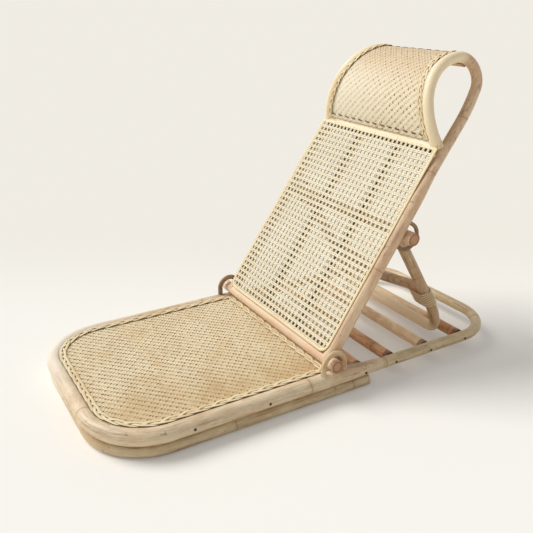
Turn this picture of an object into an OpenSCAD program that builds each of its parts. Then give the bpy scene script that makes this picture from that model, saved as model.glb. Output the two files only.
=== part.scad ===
// Low folding beach chair of bent rattan poles.
// The seat frame lies on the ground, the backrest turns on a round rod held by two
// cane arches, and a U-shaped prop behind the backrest stands against the last slat.
// X runs across the chair, +Y points from the hinge rod to the rear, +Z is up.
// The origin is on the ground, straight below the hinge rod's middle.

/* [Seat frame] */
// Distance between the middle lines of the two long side poles
frame_w = 470; // [440:2:520]
// Distance from the hinge rod to the middle of the foot pole
foot_reach = 497.5; // [450:0.5:560]
// Distance from the hinge rod to the middle of the rear pole
rear_reach = 502; // [480:1:540]
// Bend radius of the foot corners
foot_bend = 127; // [100:1:150]
// Bend radius of the rear corners
rear_bend = 115; // [60:1:120]
// Diameter of the seat pole
seat_pole_d = 34; // [30:0.5:38]
// Diameter of the ground pole under the seat pole
ground_pole_d = 26.6; // [22:0.2:30]
// Diameter of the rear pole
rear_pole_d = 25; // [22:0.5:27]
// Height of the rear pole's middle line
rear_pole_z = 40; // [36:0.5:44]
// Where the seat pole starts to taper, behind the hinge rod
taper_start = 50; // [42:1:60]
// Where the seat pole ends and the rear pole starts
splice_y = 133; // [120:1:150]
// Where the ground pole ends, behind the hinge rod
ground_pole_end = 95; // [70:1:110]
// Depth of the worn flat under the ground pole
wear_flat = 0.5; // [0.4:0.1:0.8]

/* [Seat] */
// Thickness of the woven seat panel
seat_t = 3; // [2:0.2:4]
// Height of the seat panel's underside
seat_z = 54; // [52:0.5:54]
// Distance from the hinge rod to the rear edge of the seat panel
seat_back_gap = 8; // [6:0.5:14]
// Width of the plaited edge round the seat
seat_braid_w = 16.5; // [12:0.5:20]
// Thickness of the plaited edge
seat_braid_t = 4; // [2:0.2:4.4]
// Diameter of the cross bars under the seat
support_d = 20; // [16:0.5:22]
// Number of cross bars under the middle of the seat
support_count = 2; // [1:1:3]
// Distance from the hinge rod to the bar under the seat's rear edge
rear_bar_y = 26; // [22:0.5:34]

/* [Slats] */
// Diameter of the slats behind the backrest
slat_d = 25.6; // [20:0.2:26]
// Height of the slats' middle line
slat_z = 39.6; // [38:0.2:41]
// Distance of the first slat from the hinge rod
slat_1_y = 79; // [70:1:90]
// Distance of the second slat from the hinge rod
slat_2_y = 167.6; // [155:0.2:180]
// Distance of the third slat from the hinge rod
slat_3_y = 272.3; // [255:0.1:290]
// Gap between the prop's foot bar and the last slat that it stands against
stop_gap = 0.4; // [0.3:0.1:2]

/* [Hinge] */
// Diameter of the hinge rod
hinge_rod_d = 26; // [22:0.5:30]
// How far the hinge rod stands out of its arches
hinge_rod_end = 6; // [3:0.5:12]
// Gap between the hinge rod and the seat pole under it
hinge_gap = 4.4; // [3.5:0.1:5.5]
// Diameter of the cane in the hinge arches
arch_d = 12; // [9:0.5:13]
// Radius of the hinge arch at its middle line
arch_r = 27; // [25:0.5:30]
// Height of the hinge arch's centre over the seat pole
arch_rise = 17; // [15:0.5:20]
// How far the hinge arches stand outside the seat poles' middle lines
arch_out = 3; // [1:0.5:5]

/* [Backrest] */
// Lean of the backrest from upright, in degrees
lean = 34.2; // [30:0.1:38]
// Diameter of the backrest's side poles
side_pole_d = 29; // [26:0.5:30]
// Gap between a side pole's foot and the hinge arch beside it
side_gap = 3.4; // [3:0.1:5]
// How much nearer to each other the side poles are at their upper bend than at their foot, on each side
side_draw_in = 6.1; // [4:0.1:8]
// Length of the side poles from the hinge line to their upper bend
side_pole_len = 468; // [460:1:480]
// Where the side poles start to taper
side_taper_start = 395; // [380:1:410]
// Distance of the two inner poles from the middle of the chair
inner_pole_x = 71.5; // [60:0.5:90]
// Diameter of the two inner poles
inner_pole_d = 20; // [16:0.5:20]

/* [Cane net] */
// Columns of gaps in the net
net_cols = 15; // [10:1:15]
// Rows of gaps in the net
net_rows = 17; // [10:1:17]
// Distance between columns
net_pitch_x = 28.38; // [24:0.02:28.4]
// Distance between rows
net_pitch_u = 29.52; // [24:0.02:29.6]
// Width of a gap in the net
net_gap = 12; // [6:0.5:16]
// Thickness of the net
net_t = 2; // [1.6:0.1:2.4]
// Height of the net's first row of gaps over the hinge line
net_first = 22.4; // [22:0.1:24]
// Width of the split cane strip round the net
border_w = 7; // [5:0.5:9]
// Height of the strip's face over the net
border_t = 0.8; // [0.5:0.1:1.2]

/* [Headrest] */
// Diameter of the poles in the two headrest loops
loop_d = 24; // [20:0.5:25]
// Radius of the bend from the side pole into the loop
loop_entry_r = 110; // [90:5:130]
// How far the loops lean towards the middle of the chair, in degrees
loop_inward = 16.2; // [15:0.1:17.5]
// How far the loops turn outwards as they come forward, in degrees
loop_turn = 10.7; // [8:0.1:12]
// How far the loop's rear leg runs behind the backrest, in degrees
loop_back = 14.75; // [12:0.25:17]
// Straight length of the loop's rear leg
loop_straight = 123.4; // [115:0.2:130]
// Bend radius of the upper part of the rear leg
loop_r1 = 493; // [450:1:550]
// Bend radius of the crown of the loop
loop_r2 = 45.6; // [42:0.2:48]
// Bend radius of the upper part of the front leg
loop_r3 = 113.8; // [108:0.2:118]
// Bend radius of the lower part of the front leg
loop_r4 = 159.5; // [150:0.5:170]
// Thickness of the woven headrest panel
head_t = 2.5; // [2:0.1:3]
// Distance of the panel's face from the loop pole's middle line
head_face = 8.5; // [7:0.5:9]
// Width of the plaited edge on the headrest
head_braid_w = 13; // [10:0.5:16]
// Thickness of the plaited edge on the headrest
head_braid_t = 4; // [3:0.2:5]
// Diameter of the bar across the top of the headrest
head_bar_d = 20; // [16:0.5:20]
// Diameter of the bar behind the foot of the headrest
low_bar_d = 22; // [18:0.5:24]
// Distance of the bar behind the foot of the headrest from the hinge line
low_bar_u = 501; // [499:0.5:503]
// Width of the flat band under the headrest
band_w = 17; // [14:0.5:18]
// Thickness of the flat band under the headrest
band_t = 2.6; // [2:0.1:3]
// How much further in the band's upper edge ends than its lower edge, at the loop's foot
band_notch = 26; // [25:0.5:30]

/* [Prop] */
// Distance of the prop's rod from the hinge line, along the backrest
prop_u = 314; // [300:1:320]
// Diameter of the prop's rod
prop_rod_d = 29; // [26:0.5:30]
// How far the prop's rod stands out of its loops
prop_rod_end = 20.5; // [12:0.5:25]
// Gap between the prop's rod and the side poles that it lies against
prop_gap = 0.3; // [0.2:0.1:1]
// Diameter of the cane in the loops that hold the prop's rod
prop_arch_d = 9; // [7:0.5:10]
// Radius of the loops that hold the prop's rod, at their middle line
prop_arch_r = 29; // [27:0.5:31]
// Slope of the prop's upper legs below level, in degrees
prop_slope = 58.2; // [57:0.1:59]
// Distance of the prop's legs from the middle lines of the side poles' upper ends
leg_inset = 33; // [30:0.5:42]
// Diameter of the prop's legs and foot bar
leg_d = 25.6; // [23:0.2:26]
// Straight length of the upper legs from the rod's centre
upper_leg = 245; // [240:1:250]
// Angle by which the lower legs are steeper
knee_angle = 15.4; // [14:0.1:17]
// Bend radius of the legs' knee
knee_r = 150; // [130:5:170]
// Straight length of the lower legs
lower_leg = 8; // [6:0.5:12]
// Bend radius of the foot bar's corners
foot_bar_bend = 30; // [28:0.5:32]
// Diameter of the brace between the legs
brace_d = 25; // [22:0.5:26]
// Where the brace ends, down the leg from the rod's centre
brace_end = 245; // [243:0.5:247]
// Straight length of the brace's ends beside the legs
brace_tongue = 24; // [22:0.5:26]
// Bend radius of the brace's shoulders
brace_bend = 25; // [23:0.5:27]
// How far the brace sags towards its middle, in degrees
brace_sag = 14; // [12:0.5:16]
// Bend radius at the middle of the brace
brace_mid_r = 60; // [50:1:70]
// Turns of cane in each binding round a leg and the brace
binding_turns = 5; // [4:1:6]
// Distance between neighbouring turns
binding_pitch = 5.2; // [5:0.1:6]
// Width of the binding cane
binding_w = 4; // [3.4:0.1:4.2]
// Thickness of the binding cane
binding_t = 2; // [1.6:0.1:2.4]

/* [Nails] */
// Diameter of a nail's head
nail_head_d = 6; // [5:0.5:8]
// Diameter of a nail's shank
nail_d = 2.4; // [2:0.2:3]
// Length of a nail
nail_len = 42; // [40:1:50]
// Length of the nails in the headrest's band
band_nail_len = 12; // [10:0.5:16]
// Number of nails in the headrest's band
band_nails = 5; // [3:1:9]

/* [Hidden] */
$fn = 48;
fit = 0.2;          // gap where one pole is coped to another
rest = 0.1;         // gap between the seat and the bars under it
lap = 0.5;          // how far a straight stretch of a pole reaches into its bends
skin = 0.05;        // how much thinner a bend is than the straight stretches
far = 2000;         // longer than the whole chair
half_w = frame_w / 2;
seat_r = seat_pole_d / 2;
ground_r = ground_pole_d / 2;
rear_r = rear_pole_d / 2;
ground_z = ground_r - wear_flat;
seat_pole_z = ground_z + ground_r + fit + seat_r;
slat_r = slat_d / 2;
hinge_r = hinge_rod_d / 2;
hinge_z = seat_pole_z + seat_r + hinge_gap + hinge_r;
side_r = side_pole_d / 2;
loop_r = loop_d / 2;
inner_r = inner_pole_d / 2;
inner_relief = 0.5; // how much further forward the inner poles' backs lie than the side poles'
inner_n = inner_r - side_r + inner_relief;
arch_x = half_w + arch_out;
hinge_rod_half = arch_x + arch_d / 2 + hinge_rod_end;
side_pole_x = arch_x - arch_d / 2 - side_gap - side_r;
side_pole_top_x = side_pole_x - side_draw_in;
leg_x = side_pole_top_x - leg_inset;
leg_r = leg_d / 2;
prop_r = prop_rod_d / 2;
prop_n = -(side_r + prop_gap + prop_r);
brace_r = brace_d / 2;
brace_x = leg_x - leg_r - fit - brace_r;

// Radius of the seat frame's side pole at a distance y behind the hinge rod
function side_radius(y) =
    y <= taper_start ? seat_r
    : y >= splice_y ? rear_r
    : seat_r + (rear_r - seat_r) * (y - taper_start) / (splice_y - taper_start);
// Half the length of a bar that just fits between the side poles, at one distance behind the hinge
rear_corner = rear_reach - rear_bend;
function bar_half(y) = y <= rear_corner ? half_w - side_radius(y) - fit
    : half_w - rear_bend + sqrt(pow(rear_bend - rear_r, 2) - pow(y - rear_corner, 2)) - fit;
function slat_half(y) = min(bar_half(y - slat_r), bar_half(y + slat_r));
// Distance from the chair's middle to the side of a pole at a given height over its middle
function pole_side(r, dz) = half_w - sqrt(max(r * r - dz * dz, 0)) - fit;

// Backrest: x across, u up along the backrest, n out of its front
function rail_x(u) = side_pole_x - side_draw_in * u / side_pole_len;
module back_frame() { translate([0, 0, hinge_z]) rotate([90 - lean, 0, 0]) children(); }
// Prop: x across, y down along its legs from the rod's centre, z out of its rear
prop_y = prop_u * sin(lean) - prop_n * cos(lean);
prop_z = hinge_z + prop_u * cos(lean) + prop_n * sin(lean);
module prop_place() { translate([0, prop_y, prop_z]) rotate([-prop_slope, 0, 0]) children(); }
// Foot bar of the prop, from the rod down the leg, round the knee and the corner
knee_y = upper_leg + knee_r * sin(knee_angle) + (lower_leg + foot_bar_bend) * cos(knee_angle);
knee_z = -knee_r * (1 - cos(knee_angle)) - (lower_leg + foot_bar_bend) * sin(knee_angle);
foot_bar_y = prop_y + knee_y * cos(prop_slope) + knee_z * sin(prop_slope);
foot_bar_z = prop_z - knee_y * sin(prop_slope) + knee_z * cos(prop_slope);
slat_reach = leg_r + slat_r + stop_gap;
slat_4_y = foot_bar_y + sqrt(slat_reach * slat_reach - pow(foot_bar_z - slat_z, 2));

// A pole that runs along +X and bends to its left, one entry of segs after another.
// Each entry is a straight length, a bend radius, a bend angle and the roll before the bend.
module bent_pole(segs, r, i = 0) {
    if (i < len(segs)) {
        run = segs[i][0];
        bend = segs[i][1];
        turn = segs[i][2];
        before = i > 0 ? lap : 0;
        after = turn > 0 ? lap : 0;
        translate([-before, 0, 0]) rotate([0, 90, 0]) cylinder(r = r, h = run + before + after);
        translate([run, 0, 0]) rotate([segs[i][3], 0, 0]) {
            if (turn > 0) translate([0, bend, 0]) rotate(-90)
                rotate_extrude(angle = turn) translate([bend, 0]) circle(r - skin);
            translate([bend * sin(turn), bend * (1 - cos(turn)), 0]) rotate(turn)
                bent_pole(segs, r, i + 1);
        }
    }
}
// A bar along X, centred on the chair's middle
module cross_bar(half, r) { translate([-half, 0, 0]) rotate([0, 90, 0]) cylinder(r = r, h = 2 * half); }
// One copy on each side of the chair
module both_sides() { children(); mirror([1, 0, 0]) children(); }
// A rectangle with two rounded corners at its foot end, from y0 back to y1
module foot_shape(half, y0, y1, bend) {
    translate([-half, y0 + bend]) square([2 * half, y1 - y0 - bend]);
    translate([bend - half, y0]) square([2 * (half - bend), bend]);
    for (s = [-1, 1]) translate([s * (half - bend), y0 + bend]) circle(bend);
}

// Seat frame
module rail_front() color("burlywood") {
    arm = foot_reach + taper_start - foot_bend;
    translate([-half_w, taper_start, seat_pole_z]) rotate(-90)
        bent_pole([[arm, foot_bend, 90, 0], [frame_w - 2 * foot_bend, foot_bend, 90, 0], [arm, 0, 0, 0]],
            seat_r);
    drop = seat_pole_z - rear_pole_z;
    taper_len = norm([splice_y - taper_start, drop]);
    sink = 3;
    shoulder = 0.4;
    both_sides() translate([half_w, taper_start, seat_pole_z])
        rotate([-90 - atan2(drop, splice_y - taper_start), 0, 0]) translate([0, 0, -sink])
            cylinder(r1 = seat_r - shoulder, r2 = rear_r, h = taper_len + sink - fit);
}
module rail_rear() color("palegoldenrod") {
    splice_gap = 4 * fit;
    start = splice_y + splice_gap;
    arm = rear_reach - rear_bend - start;
    translate([half_w, start, rear_pole_z]) rotate(90)
        bent_pole([[arm, rear_bend, 90, 0], [frame_w - 2 * rear_bend, rear_bend, 90, 0],
            [arm, 0, 0, 0]], rear_r);
}
module rail_ground() color("wheat") {
    arm = foot_reach + ground_pole_end - foot_bend;
    difference() {
        translate([-half_w, ground_pole_end, ground_z]) rotate(-90)
            bent_pole([[arm, foot_bend, 90, 0], [frame_w - 2 * foot_bend, foot_bend, 90, 0],
                [arm, 0, 0, 0]], ground_r);
        translate([-far / 2, -far / 2, -far]) cube([far, far, far]);
    }
}
panel_half = pole_side(seat_r, seat_z - seat_pole_z);
panel_bend = foot_bend - (half_w - panel_half);
module seat_panel() color("khaki") {
    y0 = -foot_reach + (half_w - panel_half);
    translate([0, 0, seat_z]) linear_extrude(seat_t)
        foot_shape(panel_half, y0, -seat_back_gap, panel_bend);
}
module seat_braid() color("tan") {
    braid_half = pole_side(seat_r, seat_z + seat_t - seat_pole_z);
    inset = half_w - braid_half;
    translate([0, 0, seat_z + seat_t]) linear_extrude(seat_braid_t) difference() {
        foot_shape(braid_half, -foot_reach + inset, -seat_back_gap, foot_bend - inset);
        foot_shape(braid_half - seat_braid_w, -foot_reach + inset + seat_braid_w,
            -seat_back_gap - seat_braid_w, foot_bend - inset - seat_braid_w);
    }
}
support_z = seat_z - support_d / 2 - rest;
module seat_rear_bar() color("peru")
    translate([0, -rear_bar_y, support_z]) cross_bar(bar_half(0), support_d / 2);
function support_y(i) = -foot_reach * (i + 1) / (support_count + 1);
module seat_supports() color("peru")
    for (i = [0 : support_count - 1])
        translate([0, support_y(i), support_z]) cross_bar(bar_half(0), support_d / 2);
module slat(y) color("chocolate") translate([0, y, slat_z]) cross_bar(slat_half(y), slat_r);
module slat_1() slat(slat_1_y);
module slat_2() slat(slat_2_y);
module slat_3() slat(slat_3_y);
module slat_4() slat(slat_4_y);

// An arch of cane standing in the YZ plane, its legs long enough to be cut by the pole below
module cane_arch(r_mid, r, leg) {
    translate([0, r_mid, -leg]) rotate([0, -90, 0])
        bent_pole([[leg, r_mid, 180, 180], [leg, 0, 0, 0]], r);
}
arch_sink = 8;      // how far an arch's legs run down beside the seat pole's top before they are coped
module hinge_arch(side) color("burlywood") difference() {
    translate([side * arch_x, 0, seat_pole_z + seat_r + arch_rise])
        cane_arch(arch_r, arch_d / 2, arch_rise + arch_sink);
    translate([side * half_w, 0, seat_pole_z]) rotate([90, 0, 0])
        cylinder(r = seat_r + fit, h = 4 * arch_r, center = true);
}
module hinge_arch_right() hinge_arch(1);
module hinge_arch_left() hinge_arch(-1);

// A nail along +X with its head's face at the origin
head_h = 1;         // height of a nail's head
proud = 0.8;        // how far a head stands out of what it is driven into
module nail(len) {
    translate([-head_h, 0, 0]) rotate([0, 90, 0]) cylinder(d = nail_head_d, h = head_h);
    translate([-len, 0, 0]) rotate([0, 90, 0]) cylinder(d = nail_d, h = len - head_h / 2);
}
module nails_base() color("dimgray") both_sides() {
    for (y = [slat_1_y, slat_2_y, slat_3_y, slat_4_y])
        translate([half_w + side_radius(y) + proud, y, slat_z]) nail(nail_len);
    for (i = [0 : support_count - 1])
        translate([half_w + seat_r + proud, support_y(i), support_z]) nail(nail_len);
}

// Backrest
module hinge_rod() color("rosybrown") translate([0, 0, hinge_z]) cross_bar(hinge_rod_half, hinge_r);

// Directions of the headrest loop in the backrest's own axes: e1 runs up the loop's plane,
// e2 runs forward in it, and leg_dir is the rear leg's direction.
e1 = [-sin(loop_inward), cos(loop_inward), 0];
e2 = [-cos(loop_inward) * sin(loop_turn), -sin(loop_inward) * sin(loop_turn), cos(loop_turn)];
leg_dir = e1 * cos(loop_back) - e2 * sin(loop_back);
rail_foot = [side_pole_x, 0, 0];
rail_top = [side_pole_top_x, side_pole_len, 0];
rail_dir = (rail_top - rail_foot) / norm(rail_top - rail_foot);
entry_angle = acos(rail_dir * leg_dir);
entry_cut = loop_entry_r * tan(entry_angle / 2);
entry_side = (leg_dir - rail_dir * cos(entry_angle)) / sin(entry_angle);
// The bends after the rear leg, over the crown and down the front leg: radius and angle each
loop_bends = [[loop_r1, 11.1], [loop_r2, 129.5], [loop_r3, 77.2], [loop_r4, 31.9]];
rail_yaw = atan2(rail_dir[1], rail_dir[0]);
entry_roll = atan2(entry_side[2], -entry_side[0] * sin(rail_yaw) + entry_side[1] * cos(rail_yaw));

// Places children in the loop's plane: X up it, Y forward in it, Z out of its outer side
module loop_plane() { translate(rail_top) rotate(90 + loop_inward) rotate([90 - loop_turn, 0, 0]) children(); }
// One bend of the loop, and a short straight collar where two bends meet
module loop_bend(k) translate(bend_centre(k)) rotate(bend_from(k) - 90)
    rotate_extrude(angle = loop_bends[k][1]) translate([loop_bends[k][0], 0]) circle(loop_r - skin);
module collar(k) translate(bend_centre(k)) rotate(bend_from(k) - 90) translate([loop_bends[k][0], -lap, 0])
    rotate([-90, 0, 0]) cylinder(r = loop_r, h = 2 * lap);
module rear_leg(r) rotate(-loop_back) translate([entry_cut - lap, 0, 0]) rotate([0, 90, 0])
    cylinder(r = r, h = loop_straight - entry_cut + 2 * lap);
module side_pole_and_loop() {
    rail_run = norm(rail_top - rail_foot) - entry_cut;
    translate(rail_foot) rotate(rail_yaw) {
        rotate([0, 90, 0]) cylinder(r = side_r, h = side_taper_start);
        translate([side_taper_start - lap, 0, 0]) rotate([0, 90, 0])
            cylinder(r1 = side_r - skin, r2 = loop_r + skin, h = rail_run - side_taper_start);
        translate([rail_run - 2 * lap, 0, 0])
            bent_pole([[2 * lap, loop_entry_r, entry_angle, entry_roll], [2 * lap, 0, 0, 0]], loop_r - skin);
    }
    loop_plane() {
        rear_leg(loop_r);
        for (k = [0 : 2]) loop_bend(k);
        for (k = [1 : 3]) collar(k);
        difference() {
            loop_bend(3);
            rear_leg(loop_r + fit);
        }
    }
}
module back_rail(side) color("burlywood") difference() {
    back_frame() mirror([side < 0 ? 1 : 0, 0, 0]) side_pole_and_loop();
    translate([0, 0, hinge_z]) cross_bar(hinge_rod_half, hinge_r + fit);
    translate([0, 0, hinge_z]) rotate([-lean, 0, 0]) translate([-far / 2, -far / 2, -far])
        cube([far, far, far]);
}
module back_rail_right() back_rail(1);
module back_rail_left() back_rail(-1);

module inner_pole(side) color("peru") difference() {
    back_frame() translate([side * inner_pole_x, 0, inner_n]) rotate([-90, 0, 0])
        cylinder(r = inner_r, h = low_bar_u);
    translate([0, 0, hinge_z]) cross_bar(hinge_rod_half, hinge_r + fit);
    translate([0, 0, hinge_z]) rotate([-lean, 0, 0]) translate([-far / 2, -far / 2, -far])
        cube([far, far, far]);
    back_frame() translate([0, low_bar_u, 0]) cross_bar(half_w, low_bar_d / 2 + fit);
}
module inner_pole_right() inner_pole(1);
module inner_pole_left() inner_pole(-1);

// The net is a flat sheet over the side poles, a little narrower towards the top
net_n = side_r + fit;
band_under = 1;     // how far below the low bar's middle line the band starts
net_top = low_bar_u - band_under;
net_margin = 2;     // plain net between the lowest gaps and the strip
net_low = net_first - net_gap / 2 - border_w - net_margin;
net_corner = 22;
module net_shape(inset) {
    w0 = rail_x(net_low) - inset;
    w1 = rail_x(net_top) - inset;
    y0 = net_low + inset;
    bend = net_corner - inset;
    polygon([[-w0, y0 + bend], [-w0 + bend, y0], [w0 - bend, y0],
        [w0, y0 + bend], [w1, net_top - inset], [-w1, net_top - inset]]);
    for (s = [-1, 1]) translate([s * (w0 - bend), y0 + bend]) circle(bend);
}
module back_net() color("cornsilk") back_frame() translate([0, 0, net_n]) linear_extrude(net_t) difference() {
    net_shape(border_w + fit);
    for (i = [0 : net_cols - 1], j = [0 : net_rows - 1])
        translate([(i - (net_cols - 1) / 2) * net_pitch_x, net_first + j * net_pitch_u])
            square(net_gap, center = true);
}
module net_border() color("wheat") back_frame() translate([0, 0, net_n]) linear_extrude(net_t + border_t)
    difference() {
        net_shape(0);
        net_shape(border_w);
    }

// Headrest: the loop's middle line as points, from the crown down to the front leg's foot
function loop_start() = [0, 0] + loop_straight * [cos(loop_back), -sin(loop_back)];
function bend_centre(k) = k == 0
    ? loop_start() + loop_bends[0][0] * [sin(loop_back), cos(loop_back)]
    : bend_centre(k - 1) + (loop_bends[k - 1][0] - loop_bends[k][0])
        * [sin(bend_from(k)), -cos(bend_from(k))];
function bend_from(k) = k == 0 ? -loop_back : bend_from(k - 1) + loop_bends[k - 1][1];
// A point of the loop's plane at heading h on bend k, shifted outwards, as [u, n]
function loop_point(k, h, out) =
    let (p = bend_centre(k) + (loop_bends[k][0] + out) * [sin(h), -cos(h)])
    [rail_top[1] + p[0] * e1[1] + p[1] * e2[1], p[1] * e2[2]];
// Points at even steps from heading h0 to h1, over whichever bends they lie on
function bend_at(h) = h < bend_from(2) ? 1 : h < bend_from(3) ? 2 : 3;
function loop_line(h0, h1, out, steps) =
    [for (i = [0 : steps]) let (h = h0 + (h1 - h0) * i / steps) loop_point(bend_at(h), h, out)];
// A curved sheet across the chair between two shifts from the loop's middle line
module ruled_sheet(h0, h1, out0, out1, steps) {
    rotate([90, 0, 90]) linear_extrude(frame_w, center = true)
        polygon(concat(loop_line(h0, h1, out1, steps), loop_line(h1, h0, out0, steps)));
}
// Everything on the inner side of the right loop's plane, at a distance from it
module inside_loop(gap) {
    loop_plane() translate([-far / 2, -far / 2, -far - gap]) cube([far, far, far]);
}
module between_loops(gap) {
    intersection() {
        children();
        inside_loop(gap);
        mirror([1, 0, 0]) inside_loop(gap);
    }
}
crown = 84;         // heading at which the panel starts, at the loops' crown
panel_end = 28;     // how far round the last bend the panel reaches, in degrees
braid_short = 3;    // how much sooner the plaited edge ends, in degrees
braid_top = 15;     // how far down from the crown the plaited edge across the top reaches, in degrees
sheet_steps = 26;   // flats that a curved sheet is made of
panel_gap = 0.5;    // gap between a sheet's edge and the loop beside it
braid_lift = 0.4;   // gap between the panel's face and the plaited edge
panel_foot = bend_from(3) + panel_end;
head_low = head_face - head_t;
edge_gap = sqrt(loop_r * loop_r - head_low * head_low) + panel_gap;
braid_low = head_face + braid_lift;
braid_gap = sqrt(loop_r * loop_r - braid_low * braid_low) + panel_gap;
module headrest_panel() color("khaki") back_frame()
    between_loops(edge_gap) ruled_sheet(crown, panel_foot, head_low, head_face, sheet_steps);
module headrest_braid() color("tan") back_frame() {
    past = 10;
    difference() {
        between_loops(braid_gap)
            ruled_sheet(crown, panel_foot - braid_short, braid_low, braid_low + head_braid_t, sheet_steps);
        intersection() {
            inside_loop(braid_gap + head_braid_w);
            mirror([1, 0, 0]) inside_loop(braid_gap + head_braid_w);
            ruled_sheet(crown + braid_top, panel_foot + past, -past, far / 4, past);
        }
    }
}
bar_clear = 1.2;    // gap between the top bar and the panel over it
bar_out = head_low - bar_clear - head_bar_d / 2;
bar_gap = 1.5;      // gap between the low bar's end and the loop beside it
module head_bar_top() color("peru") back_frame()
    between_loops(loop_r + fit) translate(concat([0], loop_point(1, crown, bar_out)))
        cross_bar(half_w, head_bar_d / 2);
module head_bar_low() color("peru") back_frame()
    translate([0, low_bar_u, 0]) cross_bar(rail_x(low_bar_u) - loop_d - bar_gap, low_bar_d / 2);
module headrest_band() color("wheat") back_frame() translate([0, net_top + fit, net_n]) linear_extrude(band_t) {
    low = rail_x(low_bar_u) - loop_r - bar_gap / 2;
    high = low - band_notch;
    polygon([[-low, 0], [low, 0], [high, band_w], [-high, band_w]]);
}

module prop_arch(side) color("darkkhaki") back_frame() difference() {
    translate([side * rail_x(prop_u), prop_u, prop_n]) mirror([0, 0, 1])
        cane_arch(prop_arch_r, prop_arch_d / 2, prop_r + side_r);
    mirror([side < 0 ? 1 : 0, 0, 0]) translate(rail_foot) rotate(rail_yaw) rotate([0, 90, 0])
        cylinder(r = side_r + fit, h = side_taper_start);
    translate([-far / 2, 0, 0]) cube([far, far, far]);
}
module prop_arch_right() prop_arch(1);
module prop_arch_left() prop_arch(-1);
nail_up = 3;        // how far over the low bar's middle line its nails are
module nails_back() color("dimgray") back_frame() for (i = [0 : band_nails - 1])
    translate([(i - (band_nails - 1) / 2) * frame_w / (band_nails + 1), low_bar_u + nail_up,
        net_n + band_t + proud])
        rotate([0, -90, 0]) nail(band_nail_len);

// Prop
module prop_rod() color("rosybrown") translate([0, prop_y, prop_z])
    cross_bar(rail_x(prop_u) + prop_arch_d / 2 + prop_rod_end, prop_r);
module prop_frame() color("tan") difference() {
    bar = 2 * (leg_x - foot_bar_bend);
    prop_place() translate([-leg_x, 0, 0]) rotate(90) rotate([-90, 0, 0])
        bent_pole([[upper_leg, knee_r, knee_angle, 0], [lower_leg, foot_bar_bend, 90, -90], [bar, foot_bar_bend, 90, 0],
            [lower_leg, knee_r, knee_angle, 90], [upper_leg, 0, 0, 0]], leg_r);
    translate([0, prop_y, prop_z]) cross_bar(half_w, prop_r + fit);
}
module prop_brace() color("burlywood") {
    slope_run = (brace_x - brace_bend - brace_bend * sin(brace_sag)) / cos(brace_sag)
        - brace_mid_r * tan(brace_sag);
    shoulder = 90 + brace_sag;
    prop_place() translate([-brace_x, brace_end, 0]) rotate(-90)
        bent_pole([[brace_tongue, brace_bend, shoulder, 0], [slope_run, brace_mid_r, 2 * brace_sag, 180],
            [slope_run, brace_bend, shoulder, 180], [brace_tongue, 0, 0, 0]], brace_r);
}

// Binding: one flat cane wound round the leg and the brace's end, a turn of 24 rings
ring_count = 24;
leg_slack = 0.5;    // gap between the leg and the cane round it
brace_slack = 1.4;  // gap between the brace and the cane round it
brace_shift = 4.5;  // how far past the brace's middle line the oval's far end is centred
swing = 2.2;        // how fast the cane crosses from the leg to the brace
wrap_leg = leg_r + binding_t / 2 + leg_slack;
wrap_brace = brace_r + binding_t / 2 + brace_slack;
wrap_span = leg_x - brace_x + brace_shift;
// A point of the oval round both poles at a share of one turn, from the leg's outer side
function oval(t) =
    let (a = 360 * t, c = cos(a), s = sin(a))
    c >= 0 ? [wrap_leg * c, wrap_leg * s]
        : [wrap_brace * c - wrap_span * min(1, -swing * c), wrap_brace * s];
binding_short = 1;  // how far before the brace's end the binding's edge lies
binding_low = brace_end - binding_short - binding_w / 2;
function winding(t) = let (o = oval(t)) [o[0], binding_low - binding_pitch * t, o[1]];
winding_steps = binding_turns * ring_count;
winding_path = concat(
    [winding(0) + [0, 0, -binding_w]],
    [for (i = [0 : winding_steps]) winding(i / ring_count)],
    [winding(binding_turns) + [0, 0, binding_w]]);
// Six corners of the flat cane's section at point i of the path
function ahead(i) = let (last = len(winding_path) - 1,
    d = winding_path[min(i + 1, last)] - winding_path[max(i - 1, 0)]) d / norm(d);
function section(i) =
    let (d = ahead(i), wide = cross([d[0], 0, d[2]] / norm([d[0], d[2]]), [0, 1, 0]),
        up = cross(d, wide), w = binding_w / 2, t = binding_t / 2, p = winding_path[i])
    [p + up * w, p + up * w / 2 + wide * t, p - up * w / 2 + wide * t,
     p - up * w, p - up * w / 2 - wide * t, p + up * w / 2 - wide * t];
binding_points = [for (i = [0 : len(winding_path) - 1]) each section(i)];
function side_faces(i, j) = let (a = 6 * i + j, b = 6 * i + (j + 1) % 6)
    [[a, b, a + 6], [b, b + 6, a + 6]];
binding_faces = concat(
    [[2, 1, 0], [3, 2, 0], [4, 3, 0], [5, 4, 0]],
    [for (i = [0 : len(winding_path) - 2], j = [0 : 5]) each side_faces(i, j)],
    let (e = 6 * (len(winding_path) - 1)) [for (j = [1 : 4]) [e, e + j, e + j + 1]]);
// Least gap of the winding to itself, measured between corners one turn apart
least_gap = min([for (i = [0 : len(winding_path) - ring_count - 2], a = [0 : 5],
    k = [-1 : 1], b = [0 : 5])
    norm(binding_points[6 * i + a] - binding_points[6 * (i + ring_count + k) + b])]);
echo(least_gap_of_binding = least_gap);
module binding(side) color("cornsilk") prop_place() mirror([side < 0 ? 1 : 0, 0, 0])
    translate([leg_x, 0, 0]) polyhedron(binding_points, binding_faces, convexity = 10);
module prop_binding_right() binding(1);
module prop_binding_left() binding(-1);

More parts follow.
